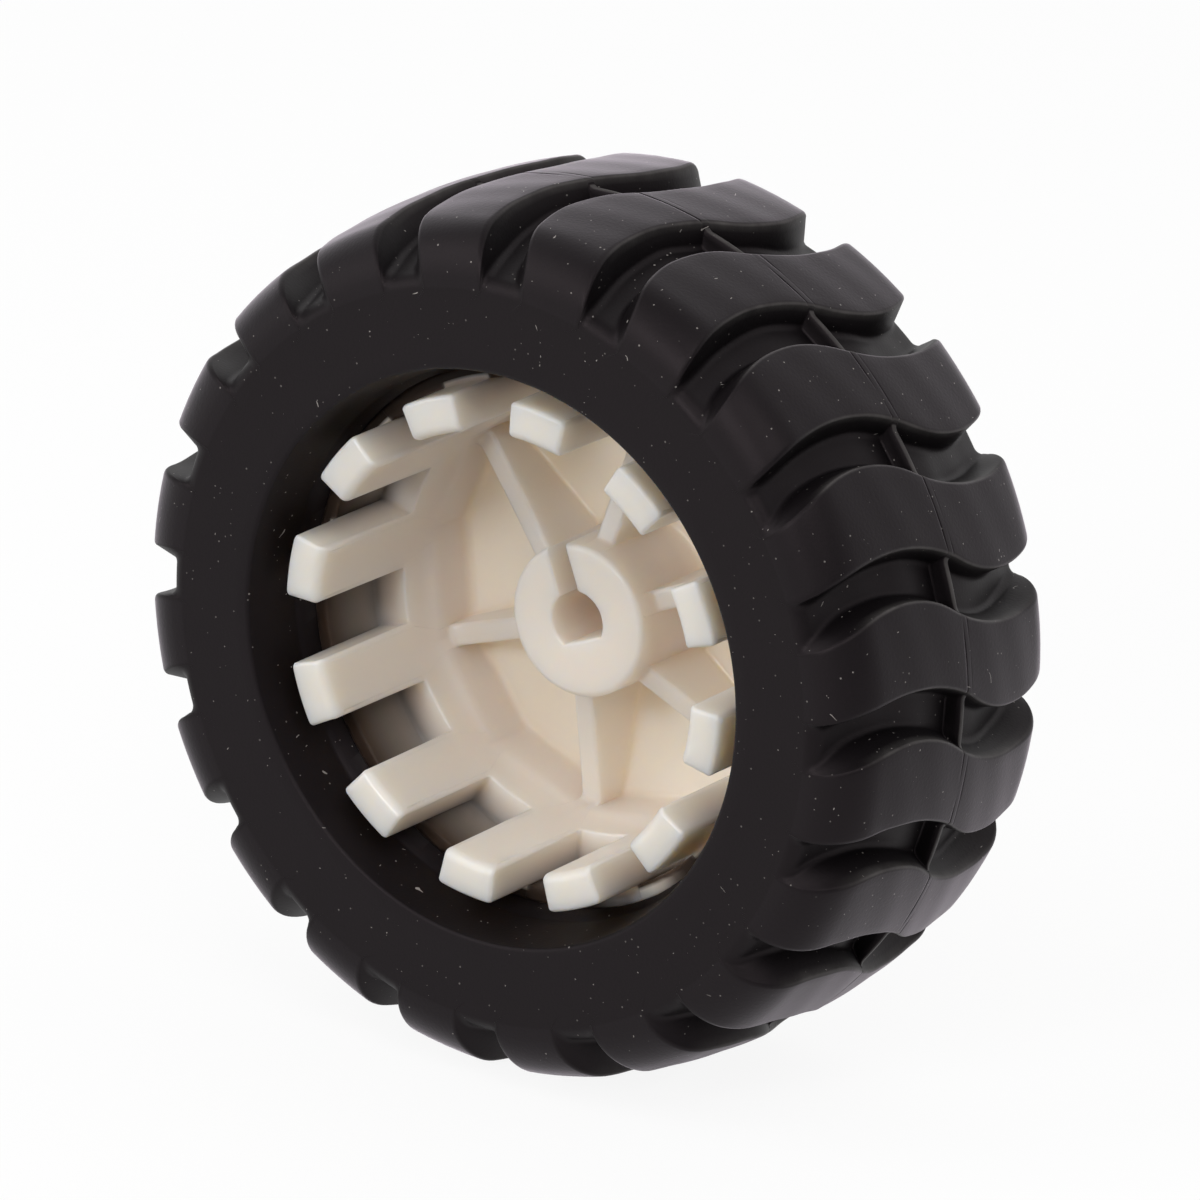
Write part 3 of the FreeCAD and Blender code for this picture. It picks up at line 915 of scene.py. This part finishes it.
def rubber_dust(tree, where):
    """Cover of dust: round specks of many sizes and strengths, and short bent fibres.

    Only a share of the speck cells hold a speck. A fibre is the core of a cell that is stretched and bent.
    """
    specks = cells(tree, where, SPECK_CELL)
    pick = node(tree, "ShaderNodeSeparateColor", links={"Color": specks.outputs["Color"]})
    speck_size = node(
        tree, "ShaderNodeMapRange", links={"Value": pick.outputs["Red"]},
        inputs={"From Min": 1 - SPECK_SHARE, "From Max": 1.0, "To Min": 0.0, "To Max": SPECK_LARGEST},
    )
    speck = maths(tree, "LESS_THAN", specks.outputs["Distance"], speck_size.outputs["Result"])
    pale = maths(tree, "MULTIPLY", speck, pick.outputs["Green"])
    drift = noise(tree, where, FIBRE_DRIFT)
    wander = node(
        tree, "ShaderNodeVectorMath", {"operation": "MULTIPLY_ADD"}, {1: 3 * (FIBRE_BEND * MM,)},
        {0: drift.outputs["Color"], 2: where},
    )
    stretch = node(
        tree, "ShaderNodeMapping", inputs={"Rotation": FIBRE_TURN, "Scale": (1.0, FIBRE_STRETCH, 1.0)},
        links={"Vector": wander.outputs["Vector"]},
    )
    fibres = cells(tree, stretch.outputs["Vector"], FIBRE_CELL)
    fibre = maths(tree, "LESS_THAN", fibres.outputs["Distance"], FIBRE_WIDTH)
    return maths(tree, "MAXIMUM", pale, fibre)


def rubber_material():
    """Carbon-black rubber from a satin mould: near black with a grey bloom and a broad soft sheen.

    Lug edges are paler, a painted highlight with some wear, and the fin's top has a painted highlight;
    handling leaves a haze on the lugs, and dust lies on it all.
    """
    material, tree = new_material("moulded_carbon_black_rubber")
    where = node(tree, "ShaderNodeTexCoord").outputs["Object"]
    bloom = noise(tree, where, BLOOM_SIZE, Detail=5.0, Roughness=0.62).outputs["Fac"]
    edge_patches = noise(tree, where, EDGE_PATCH_SIZE, Detail=4.0).outputs["Fac"]
    grain = noise(tree, where, RUBBER_GRAIN, Detail=3.0).outputs["Fac"]
    # The pale colour on the lug edges and the fin's top is a painted highlight, on the lug edges with some
    # wear, broken into patches.
    patchy_highlit_worn = maths(tree, "MULTIPLY", painted(tree, "edge_highlight_and_wear"), edge_patches)
    highlit_worn = maths(tree, "MULTIPLY", patchy_highlit_worn, HIGHLIT_WORN_COVER)
    bloomed = blended(tree, colour("#070607"), colour("#110e10"), bloom)
    edged = blended(tree, bloomed, colour("#6b6866"), highlit_worn)
    dusty = blended(tree, edged, colour("#938e8a"), rubber_dust(tree, where))
    relief = {"Strength": 0.4, "Distance": 0.02 * MM}
    bump = node(tree, "ShaderNodeBump", inputs=relief, links={"Height": grain})
    shader = node(
        tree, "ShaderNodeBsdfPrincipled",
        inputs={
            "IOR": 1.5, "Specular IOR Level": 0.19, "Specular Tint": colour("#ffecf2"),
            "Sheen Roughness": 0.32, "Sheen Tint": colour("#fcf0fc"),
        },
        links={
            "Base Color": dusty, "Roughness": mapped(tree, bloom, 0.42, 0.55),
            "Normal": bump.outputs["Normal"], "Sheen Weight": painted(tree, "handling_haze"),
        },
    )
    node(tree, "ShaderNodeOutputMaterial", links={"Surface": shader.outputs["BSDF"]})
    return material


def plastic_material():
    """Off-white moulded plastic: light enters and comes out warm, so edges are soft and the cup glows cream.

    Its skin has a faint gloss. Painted shade turns the gaps between the teeth and the collar dark brown, with
    less gloss; the thin collar also lets a little rubber through.
    """
    material, tree = new_material("moulded_off_white_abs")
    where = node(tree, "ShaderNodeTexCoord").outputs["Object"]
    cloud = noise(tree, where, CLOUD_SIZE, Detail=3.0).outputs["Fac"]
    grain = noise(tree, where, PLASTIC_GRAIN, Detail=2.0).outputs["Fac"]
    # Painted shade in the gaps between the teeth and on the collar, which also lets a little rubber through;
    # it takes the coat and most of the gloss away there.
    thin = painted(tree, "painted_shade_over_rubber")
    tone = blended(tree, colour("#ece1d5"), colour("#f1e7dd"), cloud)
    toned = blended(tree, tone, colour("#2c1b10"), thin)
    relief = {"Strength": 0.15, "Distance": 0.01 * MM}
    bump = node(tree, "ShaderNodeBump", inputs=relief, links={"Height": grain})
    shader = node(
        tree, "ShaderNodeBsdfPrincipled",
        inputs={
            "IOR": 1.52, "Roughness": 0.42, "Coat Roughness": 0.14, "Subsurface Weight": 1.0,
            "Subsurface Scale": 2.5 * MM, "Subsurface Radius": (1.0, 0.86, 0.66),
        },
        links={
            "Base Color": toned, "Normal": bump.outputs["Normal"],
            "Coat Weight": mapped(tree, thin, 0.35, 0.0), "Specular IOR Level": mapped(tree, thin, 0.5, 0.1),
        },
    )
    node(tree, "ShaderNodeOutputMaterial", links={"Surface": shader.outputs["BSDF"]})
    return material


def mirror_rays(tree, path):
    """1 for rays that a glossy or clear surface sends on, otherwise 0."""
    return maths(tree, "MAXIMUM", path.outputs["Is Glossy Ray"], path.outputs["Is Transmission Ray"])


def add_floor():
    """Wide pale floor under the tread, white to the camera, that keeps part of the wheel's shadow."""
    material, tree = new_material("matte_white_studio_floor")
    path = node(tree, "ShaderNodeLightPath")
    camera_ray = path.outputs["Is Camera Ray"]
    tone = blended(tree, colour("#9c9c9c"), colour("#ffffff"), camera_ray)
    paint = node(tree, "ShaderNodeBsdfDiffuse", links={"Color": tone})
    glow = node(tree, "ShaderNodeEmission", inputs={"Color": colour("#ffffff"), "Strength": 1.0})
    seen = maths(tree, "MAXIMUM", camera_ray, mirror_rays(tree, path))
    share = maths(tree, "MULTIPLY", seen, FLOOR_GLOW)
    mixed = node(tree, "ShaderNodeMixShader", links={0: share, 1: paint.outputs[0], 2: glow.outputs[0]})
    node(tree, "ShaderNodeOutputMaterial", links={"Surface": mixed.outputs[0]})
    level = cad_box[0][2]
    reach = FLOOR_SIZE / 2
    corners = [(-reach, -reach, level), (reach, -reach, level), (reach, reach, level), (-reach, reach, level)]
    mesh = bpy.data.meshes.new("studio_floor")
    mesh.from_pydata(corners, [], [(0, 1, 2, 3)])
    mesh.materials.append(material)
    floor = bpy.data.objects.new("studio_floor", mesh)
    bpy.context.scene.collection.objects.link(floor)


def add_world():
    """White backdrop, white to the camera: the half behind the wheel lights it, the half in front is dim."""
    world = bpy.data.worlds.new("studio_world")
    world.use_nodes = True
    tree = world.node_tree
    tree.nodes.clear()
    direction = node(tree, "ShaderNodeTexCoord").outputs["Generated"]
    way = node(tree, "ShaderNodeSeparateXYZ", links={0: direction})
    behind = node(
        tree, "ShaderNodeMapRange", {"interpolation_type": "SMOOTHSTEP"},
        {"From Min": DIM_UNTIL, "From Max": LIT_FROM, "To Min": FRONT_LIGHT, "To Max": 1.0},
        {"Value": way.outputs["Y"]},
    ).outputs["Result"]
    path = node(tree, "ShaderNodeLightPath")
    mirrored = maths(tree, "MULTIPLY", mirror_rays(tree, path), behind)
    seen = maths(tree, "MAXIMUM", path.outputs["Is Camera Ray"], mirrored)
    level = maths(tree, "MULTIPLY", behind, BACKDROP_LIGHT)
    fill = node(tree, "ShaderNodeBackground", inputs={"Color": colour("#ffffff")}, links={"Strength": level})
    white = node(tree, "ShaderNodeBackground", inputs={"Color": colour("#ffffff"), "Strength": 1.0})
    mixed = node(tree, "ShaderNodeMixShader", links={0: seen, 1: fill.outputs[0], 2: white.outputs[0]})
    node(tree, "ShaderNodeOutputWorld", links={"Surface": mixed.outputs[0]})
    bpy.context.scene.world = world


def add_lamp(name, place, size, power):
    """Square soft lamp at a place in metres, aimed at the wheel."""
    lamp = bpy.data.lights.new(name, "AREA")
    lamp.size = size
    lamp.energy = power
    holder = bpy.data.objects.new(name, lamp)
    holder.location = place
    holder.rotation_euler = (-Vector(place)).to_track_quat("-Z", "Y").to_euler()
    bpy.context.scene.collection.objects.link(holder)


def add_camera():
    """Camera at the photograph's angle, turned about the wheel's axis with the wheel."""
    data = bpy.data.cameras.new("camera")
    data.sensor_width = SENSOR_WIDTH
    data.lens = CAMERA_LENS
    data.shift_x = (FRAME_PIXELS / 2 - AXIS_PIXEL[0]) / FRAME_PIXELS
    data.shift_y = (AXIS_PIXEL[1] - FRAME_PIXELS / 2) / FRAME_PIXELS
    azimuth, elevation = math.radians(CAMERA_AZIMUTH), math.radians(CAMERA_ELEVATION)
    level = math.cos(elevation)
    back = Vector((math.sin(azimuth) * level, -math.cos(azimuth) * level, math.sin(elevation)))
    aim = (-back).to_track_quat("-Z", "Y").to_matrix().to_4x4()
    stand = Matrix.Translation(back * CAMERA_DISTANCE) @ aim
    camera = bpy.data.objects.new("camera", data)
    camera.matrix_world = Matrix.Rotation(-math.radians(WHEEL_TURN), 4, "Y") @ stand
    bpy.context.scene.collection.objects.link(camera)
    bpy.context.scene.camera = camera


tyre = make_tyre(rubber_material())
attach(tyre, "root")
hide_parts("tyre")

hub = make_hub(plastic_material())
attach(hub, "root")
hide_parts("hub")

add_floor()
add_world()
add_lamp("front_key", place=(0.0, -0.6, 0.25), size=0.15, power=1.35)
add_lamp("upper_left_softbox", place=(-0.327, -0.327, 0.457), size=0.4, power=0.9)
add_lamp("upper_right_softbox", place=(0.327, -0.327, 0.457), size=0.4, power=1.5)
add_lamp("left_front_softbox", place=(-0.44, -0.44, 0.19), size=0.4, power=1.1)
add_camera()
bpy.context.scene.view_settings.view_transform = "Standard"
